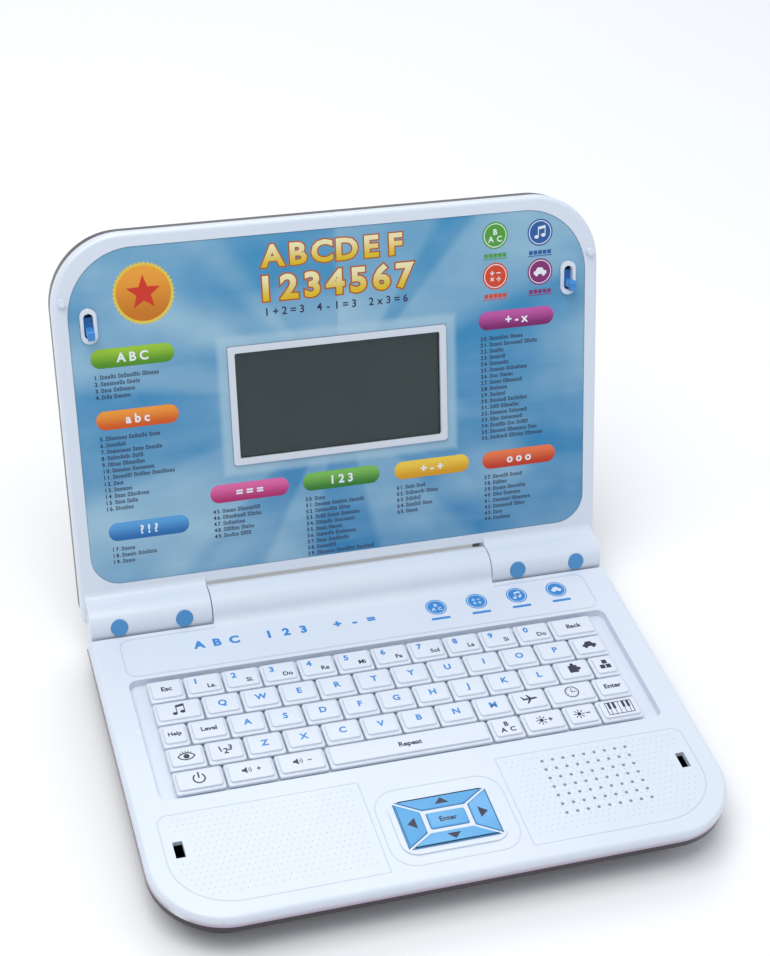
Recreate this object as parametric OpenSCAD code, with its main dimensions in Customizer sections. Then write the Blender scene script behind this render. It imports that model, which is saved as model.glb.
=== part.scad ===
// Toy learning laptop: base with keyboard, direction pad and hinge barrel,
// and a lid with a small screen, a printed panel and two spring latches.
// Frame: X to the right, Y towards the hinge, Z up, feet on z = 0, lid open.
// All sizes in millimetres.

/* [Base] */
// Width of base and lid
body_width = 260; // [240:1:280]
// From the hinge axis to the front edge of the base
axis_to_front = 179; // [160:1:200]
// From the hinge axis to the back edge of the base
axis_to_back = 9; // [8:0.5:12]
// Height of the flat deck above the table
deck_z = 24.6; // [22:0.2:30]
// Radius of the two front corners, and of the lid's top corners
corner_r = 33; // [20:1:45]
// Wall of the moulded shells
wall = 2.2; // [1.6:0.1:3]

/* [Keyboard] */
// Depth of the well the keys stand in
well_depth = 4; // [3:0.2:5]
// How far a key goes down
key_travel = 1.8; // [1:0.1:2.5]
// How far the key tops stand above the deck
key_proud = 0.6; // [0.2:0.1:1]
// Distance between key rows
row_pitch = 13.8; // [12:0.1:16]
// Front edge of the first row, measured from the hinge axis
row1_front = 55.5; // [50:0.5:60]
// Pitch of the number and letter keys
key_pitch = 17.9; // [15:0.1:19]
// Half the width of the block of keys
keys_half = 109.4; // [100:0.1:112]
// Gap between neighbouring keys
key_gap = 0.9; // [0.6:0.1:1.5]

/* [Direction pad] */
// From the hinge axis to the middle of the pad
pad_from_axis = 149.4; // [140:0.2:155]
// Height of the pad's plinth above the deck
plinth_proud = 0.8; // [0.4:0.1:1.2]
// How far a pad button goes down
pad_travel = 1.0; // [0.6:0.1:1.4]

/* [Hinge and lid] */
// Radius of the hinge barrel and of the lid's two knuckles
roll_r = 10.5; // [9:0.1:12]
// Height of the hinge axis above the deck
axis_above_deck = 0.4; // [0:0.1:1]
// How far the open lid leans back from upright, in degrees
lid_lean = 22; // [10:1:30]
// Lid face behind the hinge axis when the lid stands open
face_back = 2; // [1:0.1:3]
// Thickness of the lid
lid_thick = 16; // [12:0.5:20]
// Height of the lid above the hinge axis
lid_height = 179.5; // [160:0.5:200]

/* [Hidden] */
$fn = 64;
ribbon_w = 3.2; // flat cable between base and lid
ribbon_t = 1.4;
cap_at = [-114.7, -83.8, 83.8, 114.7]; // blue discs on the knuckles
axis_y = 48.14;
axis_z = deck_z + axis_above_deck;
hw = body_width / 2;
lip_z0 = 15.6;
part_z = 18.6;
foot_h = 1.5;
floor_t = 2.4;
deck_under = deck_z - 2.5;
well_floor = deck_z - well_depth;
well_under = well_floor - 1.8;
key_top = deck_z + key_proud;
skirt_z = well_floor + key_travel + 0.2;
notch_r = roll_r + 1.2;
barrel_half = 70;
knuckle_in = 70.5;
knuckle_out = 128;
latch_x = 114.5;
latch_v = 140;
bay_x0 = -94;
bay_x1 = -40;
cell_z = 11.1;
deck_c = [[-hw + corner_r, -axis_to_front + corner_r, corner_r],
  [hw - corner_r, -axis_to_front + corner_r, corner_r],
  [hw - 6, axis_to_back - 6, 6], [-hw + 6, axis_to_back - 6, 6]];
belly_c = [[-hw + corner_r, -axis_to_front + corner_r, corner_r - 8],
  [hw - corner_r, -axis_to_front + corner_r, corner_r - 8],
  [hw - 17, axis_to_back - 17, 9], [-hw + 17, axis_to_back - 17, 9]];
lid_c = [[-hw + 4, 2, 4], [hw - 4, 2, 4],
  [hw - corner_r, lid_height - corner_r, corner_r],
  [-hw + corner_r, lid_height - corner_r, corner_r]];
screw_at = [[-106, -24], [106, -24], [0, -24], [-103, -127], [103, -127], [0, -125]];
board_at = [[-114, -44], [114, -44], [-114, -112], [114, -112], [0, -116.5]];
lid_screw_at = [[-112, 16], [112, 16], [-88, 166], [88, 166], [0, 162]];

white = [0.93, 0.95, 0.98];
plum = [0.15, 0.08, 0.13];
blue = [0.37, 0.67, 0.88];

// Places children in the base frame: y = 0 on the hinge axis
module base_frame() translate([0, axis_y, 0]) children();

// Places children in the lid frame: y up the lid, z out of its face
module lid_frame() translate([0, axis_y, axis_z]) rotate([90 - lid_lean, 0, 0]) children();

// A bar along X from x0 to x1 with a profile drawn in Y and Z
module along_x(x0, x1) translate([x0, 0, 0]) rotate([90, 0, 90]) linear_extrude(x1 - x0) children();

// A flat strip drawn along points, square at its ends and bends
module strip(points, thick) for (i = [1 : len(points) - 1]) {
  v = points[i] - points[i - 1];
  translate(points[i - 1]) rotate(atan2(v[1], v[0]))
    translate([-thick / 2, -thick / 2]) square([norm(v) + thick, thick]);
}

module rrect(w, d, r) {
  square([w - 2 * r, d], center = true);
  square([w, d - 2 * r], center = true);
  for (sx = [-1, 1], sy = [-1, 1]) translate([sx * (w / 2 - r), sy * (d / 2 - r)]) circle(r);
}

// Outline from four corner circles, front left first, drawn in by i
module outline4(c, i) {
  polygon([[c[0][0] - c[0][2] + i, c[0][1]], [c[0][0], c[0][1] - c[0][2] + i],
    [c[1][0], c[1][1] - c[1][2] + i], [c[1][0] + c[1][2] - i, c[1][1]],
    [c[2][0] + c[2][2] - i, c[2][1]], [c[2][0], c[2][1] + c[2][2] - i],
    [c[3][0], c[3][1] + c[3][2] - i], [c[3][0] - c[3][2] + i, c[3][1]]]);
  for (k = c) translate([k[0], k[1]]) circle(k[2] - i);
}

// Plate on z = 0 with height h whose top edge is rounded by e
module soft_plate(c, h, e) {
  linear_extrude(h - e) outline4(c, 0);
  linear_extrude(h) outline4(c, e);
  for (k = c) translate([k[0], k[1], h - e]) rotate_extrude() translate([k[2] - e, 0]) circle(e);
  translate([c[0][0], c[0][1] - c[0][2] + e, h - e]) rotate([0, 90, 0])
    cylinder(r = e, h = c[1][0] - c[0][0]);
  translate([c[3][0], c[3][1] + c[3][2] - e, h - e]) rotate([0, 90, 0])
    cylinder(r = e, h = c[2][0] - c[3][0]);
  translate([c[0][0] - c[0][2] + e, c[0][1], h - e]) rotate([-90, 0, 0])
    cylinder(r = e, h = c[3][1] - c[0][1]);
  translate([c[1][0] + c[1][2] - e, c[1][1], h - e]) rotate([-90, 0, 0])
    cylinder(r = e, h = c[2][1] - c[1][1]);
}

// Room for the lid's knuckles at the two back corners, grown by g
module notch(g) {
  for (s = [0, 1]) mirror([s, 0, 0]) {
    along_x(knuckle_in - g - 0.1, hw + 5) translate([0, axis_z]) circle(notch_r + g);
    translate([knuckle_in - g - 0.1, 0, axis_z - notch_r - g]) cube([hw, 30, 40]);
  }
}

// ---- keys: [left edge, right edge, row] ----
function row_y(r) = -row1_front - (r - 1) * row_pitch + (row_pitch - key_gap) / 2;
function run(x0, n, p, r) = [for (i = [0 : n - 1]) [x0 + i * p, x0 + (i + 1) * p, r]];
r1_first = -keys_half + 17;
r2_first = -keys_half + 22.4;
r3_first = -keys_half + 30.9;
r4_first = -keys_half + 35.1;
numbers = run(r1_first, 10, key_pitch, 1);
letters2 = run(r2_first, 10, key_pitch, 2);
letters3 = run(r3_first, 9, key_pitch - 0.45, 3);
letters4 = run(r4_first, 7, key_pitch, 4);
esc_k = [-keys_half, r1_first, 1];
back_k = [r1_first + 10 * key_pitch, keys_half, 1];
music_k = [-keys_half, r2_first, 2];
car_k = [r2_first + 10 * key_pitch, keys_half, 2];
help_k = [-keys_half, -keys_half + 13, 3];
level_k = [-keys_half + 13, r3_first, 3];
puzzle_k = [r3_first + 9 * (key_pitch - 0.45), keys_half - 13, 3];
blocks_k = [keys_half - 13, keys_half, 3];
eye_k = [-keys_half, -keys_half + 17.5, 4];
count_k = [-keys_half + 17.5, r4_first, 4];
plane_k = [r4_first + 7 * key_pitch, 69, 4];
clock_k = [69, 92.6, 4];
enter_k = [92.6, keys_half, 4];
power_k = [-keys_half, -86.6, 5];
volume_up_k = [-86.6, -63.8, 5];
volume_down_k = [-63.8, -40.6, 5];
repeat_k = [-40.6, 35.8, 5];
spell_k = [35.8, 51.6, 5];
bright_up_k = [51.6, 72.2, 5];
bright_down_k = [72.2, 88.6, 5];
piano_k = [88.6, keys_half, 5];
all_keys = concat(numbers, letters2, letters3, letters4, [esc_k, back_k, music_k, car_k,
  help_k, level_k, puzzle_k, blocks_k, eye_k, count_k, plane_k, clock_k, enter_k,
  power_k, volume_up_k, volume_down_k, repeat_k, spell_k, bright_up_k, bright_down_k, piano_k]);

// One key cap: skirt, raised top, stem through the well floor and its barbs
module one_key(k) {
  w = k[1] - k[0] - key_gap;
  translate([(k[0] + k[1]) / 2, row_y(k[2]), 0]) {
    translate([0, 0, skirt_z]) linear_extrude(1.3) rrect(w, row_pitch - key_gap, 1.2);
    translate([0, 0, skirt_z + 1.2]) linear_extrude(key_top - skirt_z - 1.2) rrect(w - 2.4, 10.4, 1.4);
    translate([-3, -2.5, 15.9]) cube([6, 5, skirt_z - 15.8]);
    translate([-4.2, -2.5, 17.2]) cube([8.4, 5, well_under - 17.25]);
  }
}
module keycap(k) color(white) base_frame() one_key(k);
module keycaps(list) color(white) base_frame() for (k = list) one_key(k);

// ---- direction pad shapes, grown by m ----
module pad_top(m) polygon([[-19.6 - 3.475 * m, 12.8 + m], [19.6 + 3.475 * m, 12.8 + m],
  [9.4 + 0.287 * m, 6.4 - m], [-9.4 - 0.287 * m, 6.4 - m]]);
module pad_side(m) polygon([[21 + m, 12 + 1.827 * m], [21 + m, -12 - 1.827 * m],
  [11 - m, -5.6 - 0.547 * m], [11 - m, 5.6 + 0.547 * m]]);
module pad_mid(m) rrect(17 + 2 * m, 8.4 + 2 * m, 1);
module pad_place() translate([0, -pad_from_axis, 0]) children();
module pad_button(cx, cy) {
  pad_place() {
    translate([0, 0, deck_under - 1.3]) linear_extrude(deck_z + plinth_proud + 0.7 - deck_under + 1.3) children();
    translate([cx - 2.4, cy - 1.6, 16.9]) cube([4.8, 3.2, deck_under - 17.9]);
  }
}

// ================= base =================
module base_top_shell() color(white) base_frame() {
  difference() {
    union() {
      difference() {
        translate([0, 0, part_z]) soft_plate(deck_c, deck_z - part_z, 2);
        translate([0, 0, part_z - 1]) linear_extrude(deck_under - part_z + 1) outline4(deck_c, wall);
      }
      intersection() {
        translate([0, 0, part_z]) linear_extrude(deck_z - part_z) outline4(deck_c, 1);
        difference() {
          notch(wall);
          translate([-knuckle_in, -20, 0]) cube([2 * knuckle_in, 40, 60]);
        }
      }
      translate([-118.6, -114.6, well_under]) cube([237.2, 75.6, deck_z - well_under - 1]);
      along_x(-barrel_half, barrel_half) translate([0, axis_z]) circle(roll_r);
      along_x(-barrel_half, barrel_half) difference() {
        polygon([[-15.52, deck_z - 1.5], [0, deck_z - 1.5], [0, 28.56], [-9.88, 28.56],
          [-15.52, deck_z + 6]]);
        translate([-15.52, deck_z + 6]) circle(6);
      }
      pad_place() translate([0, 0, deck_under]) linear_extrude(deck_z + plinth_proud - deck_under)
        rrect(47.6, 31.4, 7);
      pad_place() translate([0, 0, deck_under - 6.2]) difference() {
        linear_extrude(6.3) rrect(49, 33, 3);
        translate([0, 0, -1]) linear_extrude(9) rrect(45.8, 29.8, 2);
      }
      for (p = screw_at) translate([p[0], p[1], 10]) cylinder(r = 3.6, h = deck_under - 9.9);
      for (p = board_at) translate([p[0], p[1], 12.65]) cylinder(r = 2.6, h = deck_under - 12.55);
      for (p = board_at) translate([p[0], p[1], 10]) cylinder(r = 1, h = 4);
      for (p = board_at) translate([p[0], p[1], 9.9]) cylinder(r = 1.8, h = 1.05);
    }
    notch(0);
    translate([-117, -113, well_floor]) linear_extrude(8) translate([117, 36.2]) rrect(234, 72.4, 4);
    for (k = all_keys) translate([(k[0] + k[1]) / 2, row_y(k[2]), 0]) translate([-3.15, -2.65, 10])
      cube([6.3, 5.3, 14]);
    for (s = [-1, 1]) translate([s * latch_x - 2.1, -latch_v - 4.3, 10]) cube([4.2, 8.6, 20]);
    pad_place() translate([0, 0, 15]) linear_extrude(14) {
      pad_top(0.25);
      mirror([0, 1]) pad_top(0.25);
      pad_side(0.25);
      mirror([1, 0]) pad_side(0.25);
      pad_mid(0.25);
    }
    for (i = [0 : 8], j = [0 : 6]) translate([52 + i * 5, -157 + j * 5, 18])
      cylinder(r = 0.8, h = 10, $fn = 16);
    along_x(-60, 60) translate([0, axis_z]) circle(8.3);
    along_x(-barrel_half - 1, -50) translate([0, axis_z]) circle(2.5);
    along_x(50, barrel_half + 1) translate([0, axis_z]) circle(4);
    translate([44, -13, 16.5]) cube([12, 10, 7]);
    for (p = screw_at) translate([p[0], p[1], 9]) cylinder(r = 1.25, h = 11.6);
  }
}

module base_bottom_shell() color(plum) base_frame() {
  difference() {
    union() {
      translate([0, 0, lip_z0]) linear_extrude(part_z - lip_z0) outline4(deck_c, 0);
      translate([0, 0, lip_z0 + 0.2]) mirror([0, 0, 1]) soft_plate(belly_c, lip_z0 + 0.2 - foot_h, 4);
    }
    difference() {
      union() {
        translate([0, 0, lip_z0 + 2]) linear_extrude(4) outline4(deck_c, wall);
        translate([0, 0, foot_h + floor_t]) linear_extrude(16) outline4(belly_c, 2);
      }
      notch(2);
      for (p = screw_at) translate([p[0], p[1], 0]) cylinder(r = 4.5, h = 9.9);
      translate([bay_x0 - 1.6, -166, 0]) cube([bay_x1 - bay_x0 + 3.2, 46.8, part_z - 0.1]);
    }
    notch(0);
    along_x(-barrel_half - 0.3, barrel_half + 0.3) translate([0, axis_z]) circle(roll_r + 0.2);
    translate([bay_x0, -164.4, foot_h + floor_t - 0.1]) cube([bay_x1 - bay_x0, 43.7, 20]);
    translate([bay_x0 + 1, -163.4, 0]) cube([bay_x1 - bay_x0 - 2, 41.7, 6]);
    translate([bay_x0 - 2, -166.2, foot_h - 1]) cube([bay_x1 - bay_x0 + 4, 47.2, 2.55]);
    for (p = screw_at) translate([p[0], p[1], 0]) cylinder(r = 3, h = 8);
    for (p = screw_at) translate([p[0], p[1], 0]) cylinder(r = 1.5, h = 12);
  }
}

module battery_door() color(plum) base_frame() {
  translate([bay_x0 - 1.8, -166, foot_h]) cube([bay_x1 - bay_x0 + 3.6, 46.8, 1.5]);
  translate([bay_x0 + 1.2, -163.2, foot_h + 1.4]) cube([bay_x1 - bay_x0 - 2.4, 41.3, 0.9]);
}

module batteries() color([0.16, 0.36, 0.6]) base_frame() for (i = [0 : 2]) {
  along_x(-92, -43.3) translate([-127.9 - 14.4 * i, cell_z]) circle(7.1);
  along_x(-43.4, -41.9) translate([-127.9 - 14.4 * i, cell_z]) circle(2.6);
}

module battery_contacts() color([0.75, 0.75, 0.72]) base_frame() for (i = [0 : 2]) {
  translate([bay_x1 - 0.5, -133.4 - 14.4 * i, 6]) cube([0.45, 11, 11]);
  translate([bay_x0 + 0.05, -133.4 - 14.4 * i, 6]) cube([0.45, 11, 11]);
  along_x(bay_x0 + 0.4, -92.05) translate([-127.9 - 14.4 * i, cell_z]) circle(3.5);
  along_x(-41.85, bay_x1 - 0.4) translate([-127.9 - 14.4 * i, cell_z]) circle(2);
}

module feet() color([0.1, 0.1, 0.11]) base_frame() for (s = [-1, 1], y = [-153, -22]) {
  translate([s * 105, y, 0]) cylinder(r = 6, h = foot_h);
}

module base_screws() color([0.6, 0.61, 0.63]) base_frame() for (p = screw_at) {
  translate([p[0], p[1], 6.3]) cylinder(r = 2.7, h = 1.7);
  translate([p[0], p[1], 7.9]) cylinder(r = 1.2, h = 11.5);
}

module main_board() color([0.12, 0.38, 0.2]) base_frame() {
  difference() {
    translate([-118, -118.4, 11]) cube([236, 79.4, 1.6]);
    for (p = board_at) translate([p[0], p[1], 10]) cylinder(r = 1.1, h = 4);
  }
  translate([-20, -80, 9.4]) cube([14, 14, 1.7]);
  translate([20, -84, 8.6]) cube([9, 9, 2.5]);
  translate([50, -60, 8]) cube([12, 8, 3.1]);
  pad_place() translate([0, 0, 13.2]) linear_extrude(1.6) rrect(45.4, 29.4, 2);
}

module dome_sheet() color([0.55, 0.57, 0.6]) base_frame() {
  difference() {
    translate([-111, -113.6, 12.62]) cube([222, 72.6, 0.8]);
    for (p = board_at) translate([p[0], p[1], 10]) cylinder(r = 2.9, h = 6);
  }
  for (k = all_keys) translate([(k[0] + k[1]) / 2, row_y(k[2]), 13.4]) cylinder(r = 3, h = 0.6, $fn = 16);
}

module pad_dome_sheet() color([0.55, 0.57, 0.6]) base_frame() pad_place() {
  translate([0, 0, 14.82]) linear_extrude(0.6) rrect(45.4, 29.4, 2);
  for (p = [[0, 9.6], [0, -9.6], [16.5, 0], [-16.5, 0], [0, 0]]) translate([p[0], p[1], 15.4])
    cylinder(r = 2, h = 0.4, $fn = 16);
}

module speaker() color([0.2, 0.2, 0.22]) base_frame() translate([72, -142, 0]) {
  difference() {
    translate([0, 0, 19.6]) cylinder(r = 20, h = 2.4);
    translate([0, 0, 20.6]) cylinder(r = 17.5, h = 3);
  }
  translate([0, 0, 17.4]) cylinder(r = 13, h = 2.3);
  translate([0, 0, 12]) cylinder(r = 10, h = 5.5);
}

module speaker_clamp() color(plum) base_frame() translate([72, -142, 0]) difference() {
  translate([0, 0, 3.9]) cylinder(r = 22, h = 15.6);
  translate([0, 0, 3]) cylinder(r = 19, h = 20);
}

module hinge_pin_left() color([0.7, 0.71, 0.73]) base_frame() along_x(-80, -59) translate([0, axis_z])
  circle(2.5);

module hinge_tube_right() color([0.7, 0.71, 0.73]) base_frame() along_x(59, 80) translate([0, axis_z])
  difference() {
  circle(4);
  circle(2.6);
}

module cable_base() color([0.1, 0.1, 0.1]) base_frame() {
  along_x(50 - ribbon_w / 2, 50 + ribbon_w / 2)
    strip([[-38.1, 12.8], [-30, 12.8], [-12, 18.6], [0, axis_z]], ribbon_t);
  along_x(50 - ribbon_w / 2, 71.9) translate([0, axis_z]) square([ribbon_t, ribbon_w], center = true);
}

// ================= lid =================
module lid_room() {
  translate([-knuckle_in - 0.2, -10, -30]) cube([2 * knuckle_in + 0.4, 22.2, 60]);
  along_x(-knuckle_in - 0.2, knuckle_in + 0.2) circle(notch_r);
}

module lid_hollow(z0, h, i) translate([0, 0, z0]) linear_extrude(h) difference() {
  outline4(lid_c, i);
  translate([-knuckle_in - 2.4, -10]) square([2 * knuckle_in + 4.8, 24.4]);
}

module ring_at(w, h) for (s = [-1, 1]) translate([s * latch_x, latch_v]) rrect(w, h, w / 2 - 0.01);

module overlay_outline(i) outline4([[-123.5 + 14, 17 + 14, 14], [123.5 - 14, 17 + 14, 14],
  [123.5 - 31, 173.4 - 31, 31], [-123.5 + 31, 173.4 - 31, 31]], i);

module lid_front_shell() color(white) lid_frame() difference() {
  union() {
    difference() {
      translate([0, 0, -8]) soft_plate(lid_c, 8 - face_back, 2);
      lid_room();
      lid_hollow(-9, 9 - 4.4, wall);
      translate([0, 0, -face_back - 0.9]) linear_extrude(3) overlay_outline(0);
    }
    for (s = [0, 1]) mirror([s, 0, 0]) {
      along_x(knuckle_in, knuckle_out) circle(roll_r);
      along_x(knuckle_in, knuckle_out) difference() {
        polygon([[15.2, -3.2], [0, -3.2], [0, 2.03], [10.3, 2.03], [15.2, 3]]);
        translate([15.2, 3]) circle(5);
      }
      translate([latch_x - 6.2, 130, -8.9]) cube([1.3, 28, 5]);
      translate([latch_x + 4.9, 130, -8.9]) cube([1.3, 28, 5]);
      translate([latch_x - 6.2, 156.6, -8.9]) cube([12.4, 1.6, 5]);
      translate([latch_x - 6.2, 130.6, -8.9]) cube([12.4, 2.6, 5]);
    }
    translate([0, 0, -4]) linear_extrude(2.9) ring_at(7.5, 16);
    for (p = lid_screw_at) translate([p[0], p[1], -13.8]) cylinder(r = 3, h = 10);
    for (s = [-1, 1], v = [63, 128]) translate([s * 57, v, -8.55]) cylinder(r = 2.2, h = 5);
    for (s = [-1, 1], v = [63, 128]) translate([s * 57, v, -11]) cylinder(r = 1, h = 4);
    for (s = [-1, 1], v = [63, 128]) translate([s * 57, v, -11.3]) cylinder(r = 1.7, h = 1.05);
  }
  translate([0, 0, -12]) linear_extrude(20) ring_at(4.4, 11.4);
  translate([-50.6, 69.4, -8]) cube([101.2, 52.4, 10]);
  for (s = [0, 1]) mirror([s, 0, 0]) along_x(80.5, 125.5) circle(8.3);
  for (x = cap_at) translate([x, 0, 9]) cylinder(r = 4.15, h = 3);
  along_x(-85, -knuckle_in + 1) circle(2.56);
  along_x(knuckle_in - 1, 85) circle(4.06);
  translate([86, 2, -10.6]) cube([14, 9, 6.8]);
  for (p = lid_screw_at) translate([p[0], p[1], -14]) cylinder(r = 1.25, h = 8);
}

module lid_back_shell() color(plum) lid_frame() difference() {
  union() {
    difference() {
      translate([0, 0, -8.02]) mirror([0, 0, 1]) soft_plate([[-hw + 8, 6, 8],
        [hw - 8, 6, 8], lid_c[2], lid_c[3]],
        lid_thick + face_back - 8.02, 4);
      lid_hollow(-16, 12, wall);
    }
    for (p = lid_screw_at) translate([p[0], p[1], -17]) cylinder(r = 4, h = 3.1);
    for (s = [-1, 1]) translate([s * latch_x, 138, -17]) cylinder(r = 2.5, h = 7.9);
  }
  lid_room();
  for (s = [0, 1]) mirror([s, 0, 0]) along_x(knuckle_in - 0.3, knuckle_out + 0.1) circle(roll_r + 0.1);
  for (p = lid_screw_at) translate([p[0], p[1], -20]) cylinder(r = 2.6, h = 4.4);
  for (p = lid_screw_at) translate([p[0], p[1], -20]) cylinder(r = 1.4, h = 10);
}

module overlay_panel() color([0.42, 0.68, 0.82]) lid_frame() translate([0, 0, -face_back - 0.88])
  linear_extrude(0.6) difference() {
  overlay_outline(0.25);
  translate([-52.9, 67.2]) square([105.8, 56.8]);
  ring_at(7.8, 16.3);
}

module lcd_bezel() color([0.86, 0.88, 0.91]) lid_frame() translate([0, 95.6, 0]) difference() {
  translate([0, 0, -face_back - 0.88]) linear_extrude(1.7) rrect(105.4, 56.2, 1.5);
  translate([0, 0, -10]) linear_extrude(20) rrect(99, 50, 1);
}

module lcd_window() color([0.3, 0.36, 0.38, 0.5]) lid_frame() translate([-50.5, 69.5, -4.2])
  cube([101, 52.2, 1]);

module lcd_module() color([0.36, 0.42, 0.42]) lid_frame() {
  translate([-53.5, 66.4, -8.3]) cube([107, 58.2, 3.85]);
}

module lcd_board() color([0.12, 0.38, 0.2]) lid_frame() difference() {
  translate([-62, 59, -10.2]) cube([124, 73, 1.6]);
  for (s = [-1, 1], v = [63, 128]) translate([s * 57, v, -12]) cylinder(r = 1.1, h = 5);
}

module hinge_caps() color([0.3, 0.56, 0.77]) lid_frame() for (x = cap_at)
  translate([x, 0, 9]) cylinder(r = 4.1, h = 1.7);

module lid_bumpers() color(white) lid_frame() for (s = [-1, 1])
  translate([s * 125.6, 151.5, -face_back]) {
  cylinder(r = 1.8, h = 2.2);
}

module lid_screws() color([0.6, 0.61, 0.63]) lid_frame() for (p = lid_screw_at) {
  translate([p[0], p[1], -17.4]) cylinder(r = 2.4, h = 1.7);
  translate([p[0], p[1], -15.8]) cylinder(r = 1.2, h = 9);
}

module cable_lid() color([0.1, 0.1, 0.1]) lid_frame() {
  along_x(72.1, 93 + ribbon_w / 2) square([ribbon_t, ribbon_w], center = true);
  along_x(93 - ribbon_w / 2, 93 + ribbon_w / 2) strip([[0, 0], [9, -7.5], [72.4, -9.4]], ribbon_t);
  translate([62.1, 72.4 - ribbon_w / 2, -9.4 - ribbon_t / 2])
    cube([30.9 + ribbon_w / 2, ribbon_w, ribbon_t]);
}

module latch_hook(s) color(blue) lid_frame() translate([s * latch_x, 0, 0]) {
  translate([-1.6, 0, 0]) rotate([90, 0, 90]) linear_extrude(3.2) polygon([[136.2, -8], [139.4, -8],
    [139.4, 3.6], [138.2, 4.9], [136.2, 4.9], [134.5, 4.1], [134.5, 3.4], [136.2, 3.1]]);
  translate([-4.6, 133.4, -8.6]) cube([9.2, 10, 3.9]);
}
module latch_hook_left() latch_hook(-1);
module latch_hook_right() latch_hook(1);

// Coil spring between the hook's slide and its stop, as stacked rings
module latch_spring(s) color([0.7, 0.71, 0.73]) lid_frame() translate([s * latch_x, 143.8, -6.6])
  rotate([-90, 0, 0]) {
  difference() {
    cylinder(r = 1.7, h = 12.6, $fn = 24);
    translate([0, 0, -1]) cylinder(r = 1.1, h = 15, $fn = 24);
    for (i = [0 : 5]) translate([0, 0, 1.3 + 2 * i]) difference() {
      cylinder(r = 2, h = 0.9, $fn = 24);
      translate([-0.35, -2, -1]) cube([0.7, 4, 3]);
    }
  }
}
module latch_spring_left() latch_spring(-1);
module latch_spring_right() latch_spring(1);

// ================= keys =================
module number_keys() keycaps(numbers);
module top_row_letter_keys() keycaps(letters2);
module home_row_letter_keys() keycaps(letters3);
module bottom_row_letter_keys() keycaps(letters4);
module esc_key() keycap(esc_k);
module back_key() keycap(back_k);
module music_key() keycap(music_k);
module car_key() keycap(car_k);
module help_key() keycap(help_k);
module level_key() keycap(level_k);
module puzzle_key() keycap(puzzle_k);
module blocks_key() keycap(blocks_k);
module eye_key() keycap(eye_k);
module count_key() keycap(count_k);
module plane_key() keycap(plane_k);
module clock_key() keycap(clock_k);
module enter_key() keycap(enter_k);
module power_key() keycap(power_k);
module volume_up_key() keycap(volume_up_k);
module volume_down_key() keycap(volume_down_k);
module repeat_key() keycap(repeat_k);
module spell_key() keycap(spell_k);
module bright_up_key() keycap(bright_up_k);
module bright_down_key() keycap(bright_down_k);
module piano_key() keycap(piano_k);
module pad_up() color(blue) base_frame() pad_button(0, 9.6) pad_top(0);
module pad_down() color(blue) base_frame() pad_button(0, -9.6) mirror([0, 1]) pad_top(0);
module pad_right() color(blue) base_frame() pad_button(16.5, 0) pad_side(0);
module pad_left() color(blue) base_frame() pad_button(-16.5, 0) mirror([1, 0]) pad_side(0);
module pad_enter() color(blue) base_frame() pad_button(0, 0) pad_mid(0);

base_top_shell();
base_bottom_shell();
battery_door();
batteries();
battery_contacts();
feet();
base_screws();
main_board();
dome_sheet();
pad_dome_sheet();
speaker();
speaker_clamp();
hinge_pin_left();
hinge_tube_right();
cable_base();
lid_front_shell();
lid_back_shell();
overlay_panel();
lcd_bezel();
lcd_window();
lcd_module();
lcd_board();
hinge_caps();
lid_bumpers();
lid_screws();
cable_lid();
latch_hook_left();
latch_hook_right();
latch_spring_left();
latch_spring_right();
number_keys();
top_row_letter_keys();
home_row_letter_keys();
bottom_row_letter_keys();
esc_key();
back_key();
music_key();
car_key();
help_key();
level_key();
puzzle_key();
blocks_key();
eye_key();
count_key();
plane_key();
clock_key();
enter_key();
power_key();
volume_up_key();
volume_down_key();
repeat_key();
spell_key();
bright_up_key();
bright_down_key();
piano_key();
pad_up();
pad_down();
pad_left();
pad_right();
pad_enter();
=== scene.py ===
import bpy
import bmesh
import math
import random
from mathutils import Matrix, Vector


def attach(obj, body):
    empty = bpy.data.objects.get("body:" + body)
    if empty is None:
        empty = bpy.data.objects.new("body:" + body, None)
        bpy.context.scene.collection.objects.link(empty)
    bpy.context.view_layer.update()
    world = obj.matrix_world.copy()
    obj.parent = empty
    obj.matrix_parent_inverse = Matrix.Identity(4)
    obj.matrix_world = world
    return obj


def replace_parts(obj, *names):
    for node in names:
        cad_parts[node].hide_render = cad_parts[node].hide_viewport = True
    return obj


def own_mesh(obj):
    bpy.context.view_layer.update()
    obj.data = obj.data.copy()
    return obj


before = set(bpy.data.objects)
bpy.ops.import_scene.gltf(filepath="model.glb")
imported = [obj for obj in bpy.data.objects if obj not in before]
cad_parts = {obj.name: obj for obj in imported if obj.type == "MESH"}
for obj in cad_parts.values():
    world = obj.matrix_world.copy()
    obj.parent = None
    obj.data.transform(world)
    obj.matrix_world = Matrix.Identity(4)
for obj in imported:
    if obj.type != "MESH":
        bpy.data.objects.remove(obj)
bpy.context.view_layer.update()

# ---------------------------------------------------------------- camera
# A short telephoto held above the left front corner, looking down on the
# keyboard with the lid standing open behind it.
camera_data = bpy.data.cameras.new("camera")
camera_data.sensor_width = 36.0
camera_data.lens = 64.8
camera_data.shift_x = 0.063
camera_data.shift_y = 0.099
camera = bpy.data.objects.new("camera", camera_data)
camera.location = (-0.2137, -0.5330, 0.5896)
camera.rotation_euler = [math.radians(a) for a in (47.911, -3.658, -15.747)]
bpy.context.collection.objects.link(camera)
bpy.context.scene.camera = camera


# ---------------------------------------------------------------- studio
# Pale matt floor and a pale room, with one large soft box above the left
# shoulder and two weaker ones from the right and from behind the lid.
def linear(hex_colour):
    """An sRGB hex colour as the linear RGBA that the shaders take."""
    parts = [int(hex_colour[i:i + 2], 16) / 255 for i in (1, 3, 5)]
    return [c / 12.92 if c <= 0.04045 else ((c + 0.055) / 1.055) ** 2.4 for c in parts] + [1.0]


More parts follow.
